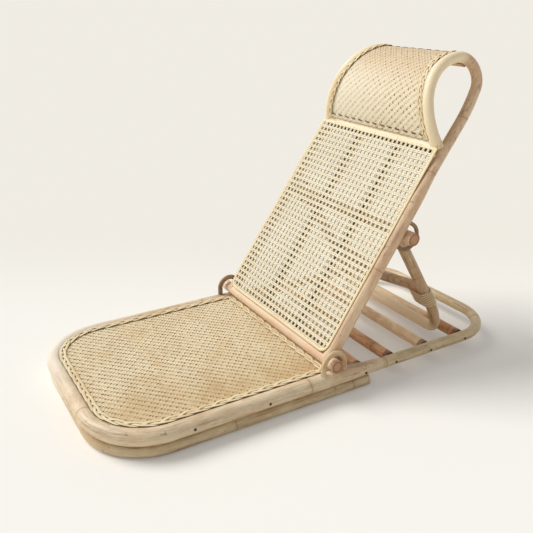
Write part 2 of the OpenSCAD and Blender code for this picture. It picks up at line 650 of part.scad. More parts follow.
rail_front();
rail_rear();
rail_ground();
seat_panel();
seat_braid();
seat_rear_bar();
seat_supports();
slat_1();
slat_2();
slat_3();
slat_4();
hinge_arch_right();
hinge_arch_left();
nails_base();
hinge_rod();
back_rail_right();
back_rail_left();
inner_pole_right();
inner_pole_left();
back_net();
net_border();
head_bar_low();
head_bar_top();
headrest_band();
headrest_panel();
headrest_braid();
prop_arch_right();
prop_arch_left();
nails_back();
prop_rod();
prop_frame();
prop_brace();
prop_binding_right();
prop_binding_left();
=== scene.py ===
from math import cos, hypot, pi, radians, sin

import bmesh
import bpy
from mathutils import Matrix, Vector


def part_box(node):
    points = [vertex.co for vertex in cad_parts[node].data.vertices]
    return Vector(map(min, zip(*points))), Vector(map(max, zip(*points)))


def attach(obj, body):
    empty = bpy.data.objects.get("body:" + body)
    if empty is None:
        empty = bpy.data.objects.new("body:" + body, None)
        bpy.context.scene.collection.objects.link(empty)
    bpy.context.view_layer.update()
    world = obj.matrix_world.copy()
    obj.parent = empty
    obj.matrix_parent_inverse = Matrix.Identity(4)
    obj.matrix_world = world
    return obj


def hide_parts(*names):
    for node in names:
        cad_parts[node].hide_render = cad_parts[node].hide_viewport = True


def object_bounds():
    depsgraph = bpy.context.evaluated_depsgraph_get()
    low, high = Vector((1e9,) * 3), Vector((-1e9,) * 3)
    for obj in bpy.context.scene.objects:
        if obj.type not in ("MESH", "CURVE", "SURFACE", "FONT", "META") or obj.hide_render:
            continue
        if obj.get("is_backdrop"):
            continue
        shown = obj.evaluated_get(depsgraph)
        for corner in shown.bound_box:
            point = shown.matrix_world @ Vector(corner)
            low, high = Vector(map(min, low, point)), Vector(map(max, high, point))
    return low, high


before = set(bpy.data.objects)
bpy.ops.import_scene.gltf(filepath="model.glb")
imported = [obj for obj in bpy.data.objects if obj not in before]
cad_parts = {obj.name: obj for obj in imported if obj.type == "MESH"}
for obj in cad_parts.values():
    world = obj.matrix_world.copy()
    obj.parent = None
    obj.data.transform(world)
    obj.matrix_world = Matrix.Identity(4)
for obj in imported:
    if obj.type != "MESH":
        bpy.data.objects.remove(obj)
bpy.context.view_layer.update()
bpy.ops.object.select_all(action="DESELECT")

# Camera
# It stands where the photograph was taken from, above the foot end
# and to the right of the chair, and looks down at the hinge.
bpy.ops.object.camera_add(location=(1.22086, -0.75404, 0.80738))
camera = bpy.context.object
camera_turn, camera_drop, camera_roll = radians(59.18), radians(22.31), radians(0.11)
camera.rotation_euler = (
    Matrix.Rotation(camera_turn, 3, "Z")
    @ Matrix.Rotation(pi / 2 - camera_drop, 3, "X")
    @ Matrix.Rotation(camera_roll, 3, "Z")
).to_euler()
camera.data.sensor_width = 36
camera.data.lens = 45.09
camera.data.clip_start = 0.05
bpy.context.scene.camera = camera
bpy.context.scene.view_settings.view_transform = "Standard"


# Floor and light
# A pale studio floor that turns greyer far off and glows a little for the camera, one wide
# soft lamp beyond the chair's foot end and left side, and an even light from all round.
class Shade:
    """One socket of a node tree. Arithmetic on it adds the nodes that work it out."""

    def __init__(self, tree, socket):
        self.tree = tree
        self.socket = socket

    def node(self, kind, out, sockets, **settings):
        """Adds a node with its settings and the values or links of its sockets."""
        made = self.tree.nodes.new("ShaderNode" + kind)
        for name, value in settings.items():
            setattr(made, name, value)
        for name, value in sockets.items():
            if isinstance(value, Shade):
                self.tree.links.new(value.socket, made.inputs[name])
            else:
                made.inputs[name].default_value = value
        return Shade(self.tree, made.outputs[out])

    def maths(self, operation, *others):
        return self.node("Math", 0, dict(enumerate((self, *others))), operation=operation)

    def __add__(self, other):
        return self.maths("ADD", other)

    def __sub__(self, other):
        return self.maths("SUBTRACT", other)

    def __rsub__(self, other):
        return self.node("Math", 0, {0: other, 1: self}, operation="SUBTRACT")

    def __mul__(self, other):
        return self.maths("MULTIPLY", other)

    def __truediv__(self, other):
        return self.maths("DIVIDE", other)

    __radd__ = __add__
    __rmul__ = __mul__

    def __abs__(self):
        return self.maths("ABSOLUTE")

    def at_least(self, other):
        return self.maths("MAXIMUM", other)

    def at_most(self, other):
        return self.maths("MINIMUM", other)

    def part(self, axis):
        """The X, Y or Z of a vector, as axis 0, 1 or 2."""
        return self.node("SeparateXYZ", axis, {0: self})

    def with_parts(self, second, third):
        """A vector of three numbers, this one first."""
        return self.node("CombineXYZ", 0, {0: self, 1: second, 2: third})

    def step(self, low, high):
        """A smooth rise from 0 at low to 1 at high."""
        sockets = {"Value": self, 1: low, 2: high}
        return self.node("MapRange", 0, sockets, interpolation_type="SMOOTHSTEP")

    def near(self, place, width):
        """1 at a place, falling to 0 at half a width from it."""
        return 1 - abs(self - place).step(0, width / 2)

    def noise(self, detail=2.0, roughness=0.5):
        sockets = {"Vector": self, "Scale": 1.0, "Detail": detail, "Roughness": roughness}
        return self.node("TexNoise", 0, sockets)

    def dice(self):
        """A number from 0 to 1 that differs from one whole number to the next."""
        return self.node("TexWhiteNoise", 0, {"W": self.maths("FLOOR")}, noise_dimensions="1D")

    def blend(self, low, high):
        """The colour low where this is 0 and high where it is 1."""
        return self.node("Mix", 2, {0: self, 6: low, 7: high}, data_type="RGBA")


def tone(red, green, blue):
    """A colour as a paint chart gives it, from 0 to 255, in linear light."""
    def linear(value):
        share = value / 255
        return share / 12.92 if share <= 0.04045 else ((share + 0.055) / 1.055) ** 2.4
    return (linear(red), linear(green), linear(blue), 1)


def material(name):
    """A new material, its shader, and the place on the piece as a Shade."""
    made = bpy.data.materials.new(name)
    made.use_nodes = True
    tree = made.node_tree
    coords = tree.nodes.new("ShaderNodeTexCoord")
    return made, tree.nodes["Principled BSDF"], Shade(tree, coords.outputs["Object"])


floor_near, floor_far, backdrop = tone(250.5, 246, 237), tone(242.5, 237, 226), tone(241, 237, 228)
floor_mat, floor_skin, place = material("studio_floor")
away = place.part(0) * -sin(camera_turn) + place.part(1) * cos(camera_turn)
off = place.node("VectorMath", 1, {0: place}, operation="LENGTH")
floor_tone = away.step(0.1, 0.8).at_least(off.step(1.6, 4.0)).blend(floor_near, floor_far)
place.tree.links.new(floor_tone.socket, floor_skin.inputs["Base Color"])
floor_skin.inputs["Roughness"].default_value = 1.0
floor_skin.inputs["Specular IOR Level"].default_value = 0.0
seen = place.node("LightPath", "Is Camera Ray", {})
cooled = floor_tone.node("VectorMath", 0, {0: floor_tone, 1: (0.9, 1.0, 1.12)}, operation="MULTIPLY")
glow = place.node("Emission", 0, {"Color": cooled, "Strength": 1.0})
skin = Shade(place.tree, floor_skin.outputs[0])
glow_share = 0.15
lit = place.node("MixShader", 0, {0: seen * glow_share, 1: skin, 2: glow})
place.tree.links.new(lit.socket, place.tree.nodes["Material Output"].inputs["Surface"])
bpy.ops.mesh.primitive_plane_add(size=400)
floor = bpy.context.object
floor.name = "studio_floor"
floor.data.materials.append(floor_mat)
floor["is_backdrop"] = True

world = bpy.data.worlds.new("studio")
bpy.context.scene.world = world
world.use_nodes = True
sky = world.node_tree.nodes["Background"]
path = world.node_tree.nodes.new("ShaderNodeLightPath")
mirrored = Shade(world.node_tree, path.outputs["Is Glossy Ray"])
looked_at = Shade(world.node_tree, path.outputs["Is Camera Ray"]).at_least(mirrored)
room_light = 0.395
room = (room_light, room_light, room_light, 1)
world.node_tree.links.new(looked_at.blend(room, backdrop).socket, sky.inputs["Color"])

bpy.ops.object.light_add(type="SUN", location=(-1.5, -1.35, 2.2))
lamp = bpy.context.object
lamp.data.angle = radians(34)
lamp.data.energy = 2.54
lamp.rotation_euler = (-lamp.location).to_track_quat("-Z", "Y").to_euler()


# Seat frame
# Two thick rattan poles lie on each other and are bent into a U round the foot end.
# The upper one tapers behind the hinge and meets the thinner pole that closes the rear.
straw, warm_straw, burnt = tone(232, 212, 178), tone(204, 166, 126), tone(118, 82, 52)
# Near-black painted shade for faces that stand behind the net, in its shadow.
shade_behind_net = tone(22, 14, 6)
pole_half, foot_reach, foot_bend = 0.235, 0.4975, 0.127
rear_reach, rear_bend = 0.502, 0.115


def round_a_bend(half, reach, bend, ways):
    """The way along a U-shaped pole, from the start of its bend, and the two ways across it.

    ways gives the distances across the U, along it towards its bend, and out of it."""
    length = bend * pi + 2 * (half - bend)

    def axes(place):
        x, along, up = ways(place)
        over = abs(x) - (half - bend)
        past = along - (reach - bend)
        side = over.at_least(0)
        front = past.at_least(0)
        run = front.maths("ARCTAN2", side) * bend + past.at_most(0) - over.at_most(0)
        across = (side * side + front * front).maths("SQRT") - bend
        return x.maths("SIGN") * (run - length / 2) + length / 2, across, up

    return axes


def to_the_foot(place):
    """The distances across the frame, towards its foot end, and up."""
    return place.part(0), place.part(1) * -1, place.part(2)


def as_it_lies(place):
    """The distances across the frame, towards its rear, and up."""
    return place.part(0), place.part(1), place.part(2)


def finish(skin, colour, roughness, height, depth, strength):
    """Gives a shader its colour and roughness, and a fine relief, its depth in metres."""
    bump = height.node("Bump", 0, {"Height": height, "Distance": depth, "Strength": strength})
    for name, value in (("Base Color", colour), ("Roughness", roughness), ("Normal", bump)):
        height.tree.links.new(value.socket, skin.inputs[name])


def stained(colour, place, stains_and_light):
    """Lays stains and painted light and shade over a colour. Each is a test for how far a place has it, and
    its colour.
    """
    for test, shade in stains_and_light:
        colour = test(place).blend(colour, shade)
    return colour


def rattan(name, axes, tones, rings=(), wear=0.55, spots=0.0, stains_and_light=()):
    """Peeled rattan: long grain, darker patches, and a burnt ring at each of its nodes.

    wear is how strong the patches are, and spots how dark its small flecks are."""
    pale, warm, dark = tones
    made, skin, place = material(name)
    run, across, up = axes(place)
    patches = (run * 13).with_parts(across * 34, up * 34).noise(4, 0.7).step(0.4, 0.62)
    streaks = (run * 11).with_parts(across * 130, up * 130).noise(5, 0.7)
    fibres = (run * 60).with_parts(across * 900, up * 900).noise(2, 0.5)
    colour = (patches * wear).blend(pale, warm)
    colour = (streaks.step(0.47, 0.74) * 0.62).blend(colour, dark)
    colour = ((1 - fibres.step(0.25, 0.6)) * 0.22).blend(colour, dark)
    wobble = run + (across * 70).with_parts(up * 70, 0.0).noise(2) * 0.006
    marks, ridges = None, None
    for ring in rings:
        mark = wobble.near(ring + 0.003, 0.0036)
        shoulder = wobble.near(ring + 0.003, 0.022)
        marks = mark if marks is None else marks.at_least(mark)
        ridges = shoulder if ridges is None else ridges.at_least(shoulder)
    height = fibres * 0.25 + streaks * 0.3
    if rings:
        colour = (ridges * 0.4).blend(colour, warm)
        colour = (marks * 0.6).blend(colour, dark)
        height = height + ridges * 0.7 - marks * 0.5
    if spots:
        speck = (run * 90).with_parts(across * 120, up * 120).noise(1).step(0.7, 0.76)
        colour = (speck * spots).blend(colour, dark)
    finish(skin, stained(colour, place, stains_and_light), streaks * 0.25 + 0.38, height, 0.0006, 0.6)
    return made


def dress(node, made):
    """Gives a CAD node its material."""
    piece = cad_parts[node]
    if piece.material_slots:
        piece.material_slots[0].material = made
    else:
        piece.data.materials.append(made)


def lit_foot_end(place):
    """Up to 1 at the foot end, most on its left side: a painted highlight where the lamp falls on the
    poles.
    """
    return (place.part(0) * -1).step(-0.1, 0.22) * (place.part(1) * -1).step(0.2, 0.47) * 0.7


# Painted highlight on the foot end of the seat and ground poles.
foot_highlight = ((lit_foot_end, tone(248, 240, 226)),)
round_the_foot = round_a_bend(pole_half, foot_reach, foot_bend, to_the_foot)
round_the_rear = round_a_bend(pole_half, rear_reach, rear_bend, as_it_lies)
dress("rail_front", rattan("seat_pole", round_the_foot,
                           (straw, warm_straw, burnt), (-0.306, -0.56, 0.21, 0.62, 0.9),
                           spots=0.5, stains_and_light=foot_highlight))
dress("rail_ground", rattan("ground_pole", round_the_foot,
                            (tone(218, 198, 160), tone(190, 156, 114), burnt),
                            (-0.42, -0.13, 0.33, 0.8), spots=0.5, stains_and_light=foot_highlight))
dress("rail_rear", rattan("rear_pole", round_the_rear,
                          (tone(220, 200, 160), tone(194, 162, 122), burnt),
                          (-0.247, 0.11, 0.34), wear=0.5, spots=0.6))


# Slats and bars
# Straight rattan poles with their brown skin left on, nailed between the side poles.
# The last slat stops the prop, and two bars and one at the rear carry the woven seat.
copper, brown, char = tone(238, 188, 142), tone(194, 132, 84), tone(84, 52, 32)


def shaded_slat_end(place):
    """1 at the ends that are cut to fit round the side poles, darkened by painted shade where they meet the
    poles.
    """
    return abs(place.part(0)).step(0.2095, 0.2155) * 0.7


def lit_stretch(low, high):
    """A test for the stretch of a slat that is painted paler: a painted highlight where light reaches it.
    """
    def test(place):
        run = place.part(0)
        patches = (run * 30).with_parts(place.part(1) * 60, place.part(2) * 60).noise(3, 0.6).step(0.3, 0.6)
        return run.step(low - 0.08, low) * (1 - run.step(high, high + 0.03)) * (0.95 - patches * 0.4)
    return test


# Paler stretches on slats 3 and 4: a painted highlight where light reaches them.
lit_stretches = {"slat_3": ((lit_stretch(-0.02, 0.25), tone(255, 232, 194)),),
               "slat_4": ((lit_stretch(-0.12, 0.1), tone(255, 232, 194)),)}
# Each slat's ends get painted shade where they meet the side poles.
for name, rings in {"slat_1": (0.12, -0.1), "slat_2": (-0.02, 0.17), "slat_3": (0.06, -0.17),
                    "slat_4": (0.2, -0.08), "seat_rear_bar": (0.1,), "seat_supports": (-0.1, 0.13)}.items():
    dress(name, rattan(name + "_skin", as_it_lies, (copper, brown, char), rings, wear=0.7, spots=0.7,
                       stains_and_light=lit_stretches.get(name, ()) + ((shaded_slat_end, char),)))


# Woven seat
# Split canes, about four and a half millimetres wide, are woven over two and under
# two, so that the dips run slantwise. The ends go under the plaited edge.
seat_low, seat_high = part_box("seat_panel")
weave_sunk, weave_under_edge, weave_under_rod = 0.0012, 0.0017, 0.015
seat_middle = seat_high.z - weave_sunk
seat_pitch_x, seat_pitch_y = 0.0049, 0.00462
seat_weft_wide, seat_warp_wide = 0.0045, 0.0047
split_thick, split_rise = 0.0013, 0.0008


def pick(*pieces):
    """Selects these pieces and nothing else, the first of them active."""
    bpy.ops.object.select_all(action="DESELECT")
    for piece in pieces:
        piece.select_set(True)
    bpy.context.view_layer.objects.active = pieces[0]


def select_vertices(test):
    """In edit mode, selects the vertices whose place passes the test."""
    bpy.ops.mesh.select_all(action="DESELECT")
    mesh = bmesh.from_edit_mesh(bpy.context.edit_object.data)
    for vertex in mesh.verts:
        vertex.select_set(test(vertex.co))
    mesh.select_flush_mode()
    bmesh.update_edit_mesh(bpy.context.edit_object.data)


def cane(stretches, step, width, thick, levels, corners=4):
    """A flat cane along X, bent up and down at each step. levels(k) is its height there.

    With 4 corners it is lens-shaped in section, with 6 its underside is flat."""
    length = stretches * step
    underside = 1.84
    bpy.ops.mesh.primitive_cylinder_add(vertices=corners, radius=0.5, depth=length,
                                        location=(length / 2, 0, 0), rotation=(0, pi / 2, 0))
    piece = bpy.context.object
    bpy.ops.object.transform_apply(location=True, rotation=True)
    bpy.ops.object.mode_set(mode="EDIT")
    bpy.ops.mesh.select_all(action="SELECT")
    bpy.ops.transform.resize(value=(1, width, thick), center_override=(0, 0, 0))
    if corners == 6:
        select_vertices(lambda co: co.z < -thick / 4)
        bpy.ops.transform.resize(value=(1, underside, 1), center_override=(0, 0, 0))
    mesh = bmesh.from_edit_mesh(piece.data)
    bpy.ops.mesh.select_mode(type="EDGE")
    bpy.ops.mesh.select_all(action="DESELECT")
    for edge in mesh.edges:
        edge.select_set(abs(edge.verts[0].co.x - edge.verts[1].co.x) > length / 2)
    bmesh.update_edit_mesh(piece.data)
    bpy.ops.mesh.subdivide(number_cuts=stretches - 1)
    bpy.ops.mesh.select_mode(type="VERT")
    heights = [levels(k) for k in range(stretches + 1)]
    for height in sorted(set(heights) - {0.0}):
        select_vertices(lambda co: heights[round(co.x / step)] == height)
        bpy.ops.transform.translate(value=(0, 0, height))
    bpy.ops.object.mode_set(mode="OBJECT")
    return piece


def repeat(piece, offset, count):
    """Copies a piece count times, each a further offset away."""
    rows = piece.modifiers.new("rows", "ARRAY")
    rows.use_relative_offset = False
    rows.use_constant_offset = True
    rows.constant_offset_displace = offset
    rows.count = count
    bpy.context.view_layer.objects.active = piece
    bpy.ops.object.modifier_apply(modifier="rows")


def joined(pieces, name):
    """Makes one piece of several."""
    pick(*pieces)
    if len(pieces) > 1:
        bpy.ops.object.join()
    piece = bpy.context.object
    piece.name = name
    piece.data.name = name
    return piece


def settled(piece, matrix=None):
    """Moves a piece by a matrix, with its origin back at the frame's."""
    pick(piece)
    if matrix is not None:
        piece.matrix_world = matrix @ piece.matrix_world
    bpy.ops.object.transform_apply(location=True, rotation=True, scale=True)
    return piece


def flat_map(piece, origin):
    """Keeps each point's flat place from an origin, in metres, as the piece's UV map."""
    sheet = piece.data.uv_layers.active or piece.data.uv_layers.new(name="flat")
    for loop in piece.data.loops:
        co = piece.data.vertices[loop.vertex_index].co
        sheet.data[loop.index].uv = (co.x - origin[0], co.y - origin[1])


def twill(name, count, crossings, pitch, crossing_pitch, width, over, thick, rise):
    """Canes along X, centred on the origin, woven over two and under two others.

    over(j, i) says whether cane j lies over at crossing i."""
    def level(j, half):
        return rise * (over(j, half // 2 - 1) + over(j, (half + 1) // 2 - 1) - 1)

    pieces = []
    for j in range(4):
        piece = cane(2 * (crossings + 1), crossing_pitch / 2, width, thick, lambda k: level(j, k))
        start = (-(crossings + 1) / 2 * crossing_pitch, (j - (count - 1) / 2) * pitch, 0)
        settled(piece, Matrix.Translation(start))
        repeat(piece, (0, 4 * pitch, 0), (count - j + 3) // 4)
        pieces.append(piece)
    weave = joined(pieces, name)
    flat_map(weave, (-crossings / 2 * crossing_pitch, -count / 2 * pitch))
    return weave


def woven(name, columns, rows, pitch_x, pitch_y, widths, thick, rise, centre):
    """The two sets of canes of a twill sheet round a place: those along X and those across.

    The second set lies over wherever the first lies under."""
    weft = twill(f"{name}_weft", rows, columns, pitch_y, pitch_x, widths[0],
                 lambda j, i: (j - i) % 4 in (2, 3), thick, rise)
    warp = twill(f"{name}_warp", columns, rows, pitch_x, pitch_y, widths[1],
                 lambda j, i: (i + j - columns + 1) % 4 in (0, 1), thick, rise)
    settled(weft, centre)
    settled(warp, centre @ Matrix.Rotation(pi / 2, 4, "Z"))
    return weft, warp


def trim(piece, keep):
    """Cuts away the faces whose middle isn't kept, and closes the cut canes."""
    pick(piece)
    bpy.ops.object.mode_set(mode="EDIT")
    bpy.ops.mesh.select_mode(type="FACE")
    bpy.ops.mesh.select_all(action="DESELECT")
    mesh = bmesh.from_edit_mesh(piece.data)
    for face in mesh.faces:
        face.select_set(not keep(face.calc_center_median()))
    bmesh.update_edit_mesh(piece.data)
    bpy.ops.mesh.delete(type="FACE")
    bpy.ops.mesh.select_mode(type="VERT")
    bpy.ops.mesh.select_all(action="SELECT")
    bpy.ops.mesh.fill_holes(sides=4)
    bpy.ops.object.mode_set(mode="OBJECT")
    return piece


def smooth(piece, made):
    """Rounds the shading, but not over a cane's edges, and gives the material."""
    pick(piece)
    bpy.ops.object.shade_smooth_by_angle(angle=radians(50))
    piece.data.materials.clear()
    piece.data.materials.append(made)


def split_cane(name, tones, pitch, dive=None, edge=0.0, hole_shade=0.0, stains_and_light=()):
    """Split cane: each one has its own tone, with long grain and a slight gloss.

    It reads the piece's own flat map, in which the canes run along the first axis. dive
    is the pitch of the crossings, with the phase of the twill, the way it steps, and how
    dark the painted shade is where a cane comes up from under another, which is less on
    every second cane. edge is how dark a cane's two edges are: partly the cane's own
    darker edges, partly painted shade in the gaps between canes. hole_shade is how dark
    the painted shade is on the edges that face the holes of a net."""
    pale, warm, dark = tones
    made, skin, place = material(name)
    coords = place.socket.node
    flat = Shade(place.tree, coords.outputs["UV"])
    run, across = flat.part(0), flat.part(1)
    one = (across / pitch).dice()
    drift = (run * 7).with_parts(across * 9, 0.0).noise(3, 0.6)
    streaks = (run * 25).with_parts(across * 1500, one * 9).noise(2, 0.6)
    colour = (drift.step(0.4, 0.75) * 0.6).blend(pale, warm)
    colour = (one.step(0.55, 1.0) * 0.4).blend(colour, warm)
    colour = (streaks.step(0.5, 0.9) * 0.35).blend(colour, dark)
    knots = (run * 45).with_parts(one * 37, 0.0).noise(1).step(0.74, 0.8)
    colour = (knots * 0.4).blend(colour, dark)
    # Darker edges: the cane's own, with painted shade in the gaps between canes.
    if edge:
        side = abs((across / pitch).maths("FRACT") - 0.5).step(0.3, 0.5)
        colour = (side * edge).blend(colour, dark)
    # Painted shade on the edges that face the net's holes.
    if hole_shade:
        colour = ((across / pitch).maths("FRACT").near(0.5, 0.2) * hole_shade).blend(colour, dark)
    # Painted shade where each cane comes up from under the one it crosses.
    if dive:
        crossing_pitch, phase, sign, depth = dive
        turn = (run / crossing_pitch - (across / pitch).maths("FLOOR") * sign - phase) / 4
        lot = (turn.maths("FLOOR") * 7 + (across / pitch).maths("FLOOR") * 131).dice()
        odd = ((across / pitch).maths("FLOOR") / 2).maths("FRACT") * 2
        dip = (1 - turn.maths("FRACT").step(0.4, 0.54)) * (1.45 - odd * 0.8)
        colour = (dip * (lot * 0.9 + 0.25) * depth).at_most(1).blend(colour, dark)
    skin.inputs["Specular IOR Level"].default_value = 0.2
    finish(skin, stained(colour, place, stains_and_light), streaks * 0.3 + 0.4, streaks, 0.0002, 0.5)
    return made


def inside_foot(half, low, high, bend):
    """A test for points inside an outline that is rounded at its foot end."""
    def keep(co):
        over = abs(co.x) - (half - bend)
        past = (low + bend) - co.y
        if co.y > high or abs(co.x) > half or co.y < low:
            return False
        return over <= 0 or past <= 0 or hypot(over, past) <= bend
    return keep


seat_half = seat_high.x + weave_under_edge
seat_y0 = seat_low.y - weave_under_edge
seat_y1 = seat_high.y + weave_under_rod
seat_keep = inside_foot(seat_half, seat_y0, seat_y1, foot_bend - (pole_half - seat_half))
seat_columns, seat_rows = 92, 104
seat_centre = Matrix.Translation((0, (seat_y0 + seat_y1) / 2, seat_middle))
seat_tones = (tone(247, 231, 195), tone(234, 202, 152), tone(88, 54, 22))


def tanned_seat(place):
    """Up to 1 where the seat is browned: in patches, and along its right side."""
    patches = place.node("VectorMath", 0, {0: place, 1: (7, 11, 0)}, operation="MULTIPLY").noise(3, 0.7)
    return (patches.step(0.42, 0.7) * 0.3 + place.part(0).step(0.02, 0.2) * 0.38).at_most(1)


weft, warp = woven("seat", seat_columns, seat_rows, seat_pitch_x, seat_pitch_y,
                   (seat_weft_wide, seat_warp_wide), split_thick, split_rise, seat_centre)
seat_stains = ((tanned_seat, tone(196, 158, 102)),)
# Painted shade where each cane comes up from under another, and partly at the canes' edges.
for piece, pitch, dive in ((weft, seat_pitch_y, (seat_pitch_x, 0, 1, 1.15)),
                           (warp, seat_pitch_x, (seat_pitch_y, seat_columns - 2, -1, 0.2))):
    trim(piece, seat_keep)
    smooth(piece, split_cane(piece.name + "_cane", seat_tones, pitch, dive, 0.2, stains_and_light=seat_stains))
    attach(piece, "base")
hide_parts("seat_panel")
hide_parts("seat_panel")


# Plaited edge of the seat
# Three split canes are plaited into a flat braid and pinned down round the weave,
# along the inner side of the seat pole and across the rear edge.
braid_low, braid_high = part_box("seat_braid")
braid_wide, braid_thick = 0.0165, braid_high.z - braid_low.z
plait_period, strand_share, strand_height = 0.105, 0.4, 0.46


def rounded(corners, step):
    """Points about a step apart round a closed outline, whose corners each have a radius."""
    pieces = []
    count = len(corners)
    for index, (corner, radius) in enumerate(corners):
        before = (corners[index - 1][0] - corner).normalized()
        after = (corners[(index + 1) % count][0] - corner).normalized()
        half = before.angle(after) / 2
        cut = radius / (sin(half) / cos(half))
        centre = corner + (before + after).normalized() * (radius / sin(half))
        start, end = corner + before * cut, corner + after * cut
        turns = max(2, round(radius * (pi - 2 * half) / step))
        first, last = start - centre, end - centre
        axis = first.cross(last).normalized()
        for k in range(turns + 1):
            turn = Matrix.Rotation((pi - 2 * half) * k / turns, 3, axis)
            pieces.append(centre + turn @ first)
    points = []
    for index, point in enumerate(pieces):
        following = pieces[(index + 1) % len(pieces)]
        gap = (following - point).length
        parts = max(1, round(gap / step))
        points += [point.lerp(following, k / parts) for k in range(parts)]
    return points


def half_girth(width, thick):
    """About half the way round a cane that is oval in section."""
    return pi * (width + thick) / 4


def swept(name, line, sides, ups, width, thick, closed=False, corners=8, strand=0):
    """A cane drawn along a line, oval in section, with its length and girth as UV map.

    The girth is measured from one edge over the face, and each strand has its own part."""
    points, length = [], [0.0]
    for here, there in zip(line, line[1:] + line[:1]):
        length.append(length[-1] + (there - here).length)
    for middle, side, up in zip(line, sides, ups):
        for k in range(corners):
            angle = 2 * pi * k / corners
            points.append(middle + side * (width / 2 * cos(angle)) + up * (thick / 2 * sin(angle)))
    rings = len(line)
    faces, places = [], []
    step = 2 * half_girth(width, thick) / corners
    start = strand * corners * step
    for ring in range(rings if closed else rings - 1):
        following = (ring + 1) % rings
        for k in range(corners):
            other = (k + 1) % corners
            faces.append((ring * corners + k, ring * corners + other,
                          following * corners + other, following * corners + k))
            here, there = start + k * step, start + (k + 1) * step
            places += [(length[ring], here), (length[ring], there),
                       (length[ring + 1], there), (length[ring + 1], here)]
    if not closed:
        for ring in (0, rings - 1):
            faces.append(tuple(ring * corners + k for k in range(corners)))
            places += [(length[ring], start + k * step) for k in range(corners)]
    mesh = bpy.data.meshes.new(name)
    mesh.from_pydata(points, [], faces)
    sheet = mesh.uv_layers.new(name="flat")
    for corner, place in enumerate(places):
        sheet.data[corner].uv = place
    piece = bpy.data.objects.new(name, mesh)
    bpy.context.scene.collection.objects.link(piece)
    pick(piece)
    bpy.ops.object.mode_set(mode="EDIT")
    bpy.ops.mesh.select_all(action="SELECT")
    bpy.ops.mesh.normals_make_consistent(inside=False)
    bpy.ops.object.mode_set(mode="OBJECT")
    return piece


def directions(line, closed):
    """The direction of a line at each of its points."""
    last = len(line) - 1
    ways = []
    for k in range(len(line)):
        before = line[k - 1] if closed or k else line[0]
        after = line[(k + 1) % len(line)] if closed or k < last else line[last]
        ways.append((after - before).normalized())
    return ways


def braid(name, line, ups, span, thick, period, closed=False):
    """Three flat canes plaited along a line, span wide and thick high in all."""
    ways = directions(line, closed)
    sides = [way.cross(up).normalized() for way, up in zip(ways, ups)]
    total = sum((b - a).length for a, b in zip(line, line[1:] + (line[:1] if closed else [])))
    turns = max(1, round(total / period))
    strand_wide, strand_thick = span * strand_share, thick * strand_height
    sway, lift = (span - strand_wide) / 2, (thick - strand_thick) / 2
    strands = []
    for k in range(3):
        run, middle = 0.0, []
        for index, point in enumerate(line):
            phase = 2 * pi * (run / total * turns + k / 3)
            shift = sides[index] * (sway * sin(pi / 2 * sin(phase)))
            middle.append(point + shift + ups[index] * (lift * sin(2 * phase)))
            run += (line[(index + 1) % len(line)] - point).length
        strand_ways = directions(middle, closed)
        leans = [way.cross(up).normalized() for way, up in zip(strand_ways, ups)]
        strands.append(swept(f"{name}_{k}", middle, leans, ups, strand_wide, strand_thick,
                             closed, strand=k))
    return joined(strands, name)


edge = braid_wide / 2
half = braid_high.x - edge
outer_bend, tight_bend, under_rod, braid_step = foot_bend - (pole_half - half), 0.006, 0.004, 0.0026
corner_z = (braid_low.z + braid_high.z) / 2
edge_line = rounded([
    (Vector((half, braid_low.y + edge, corner_z)), outer_bend),
    (Vector((half, braid_high.y - edge + under_rod, corner_z)), tight_bend),
    (Vector((-half, braid_high.y - edge + under_rod, corner_z)), tight_bend),
    (Vector((-half, braid_low.y + edge, corner_z)), outer_bend),
], braid_step)
seat_edge = braid("seat_edge", edge_line, [Vector((0, 0, 1))] * len(edge_line), braid_wide,
                  braid_thick, plait_period, closed=True)
braid_tones = (tone(242, 224, 184), tone(220, 188, 140), tone(62, 38, 18))
strand_girth = half_girth(braid_wide * strand_share, braid_thick * strand_height)
# Strong dark edges: painted shade in the gaps between the plaited strands, over their own darker edges.
smooth(seat_edge, split_cane("seat_edge_cane", braid_tones, strand_girth, edge=0.95))
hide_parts("seat_braid")
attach(seat_edge, "base")


# Hinge rod and its arches
# A smooth peeled rod lies across the frame under two arches of bent cane, pinned to the
# seat pole. Two loops of the same cane hold the prop's rod to the backrest.
rosy, rosy_dark = tone(236, 208, 176), tone(216, 172, 134)


def rod_finish(name, half_length, radius, centre, stains_and_light=()):
    """A peeled rod: smooth and pinkish, with a sawn end that is darker and full of pores."""
    made, skin, place = material(name)
    run = place.part(0)
    across = place.part(1) - centre.y
    up = place.part(2) - centre.z
    patches = (run * 8).with_parts(across * 20, up * 20).noise(3, 0.6)
    streaks = (run * 16).with_parts(across * 260, up * 260).noise(4, 0.6)
    colour = (patches.step(0.45, 0.75) * 0.6).blend(rosy, rosy_dark)
    colour = (streaks.step(0.5, 0.85) * 0.4).blend(colour, tone(178, 128, 90))
    end = abs(run).step(half_length - 0.0012, half_length - 0.0004)
    out = (across * across + up * up).maths("SQRT") / radius
    pores = (across * 1400).with_parts(up * 1400, 0.0).noise(1).step(0.5, 0.62)
    sawn = out.step(0.5, 0.98).blend(tone(200, 154, 118), tone(158, 110, 78))
    sawn = (pores * 0.4).blend(sawn, tone(122, 76, 50))
    colour = end.blend(colour, sawn)
    height = streaks * 0.4 + pores * end * 0.6
    finish(skin, stained(colour, place, stains_and_light), streaks * 0.2 + end * 0.3 + 0.36, height, 0.0004, 0.6)
    return made


low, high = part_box("hinge_rod")
dress("hinge_rod", rod_finish("hinge_rod_wood", high.x, (high.z - low.z) / 2, (low + high) / 2))


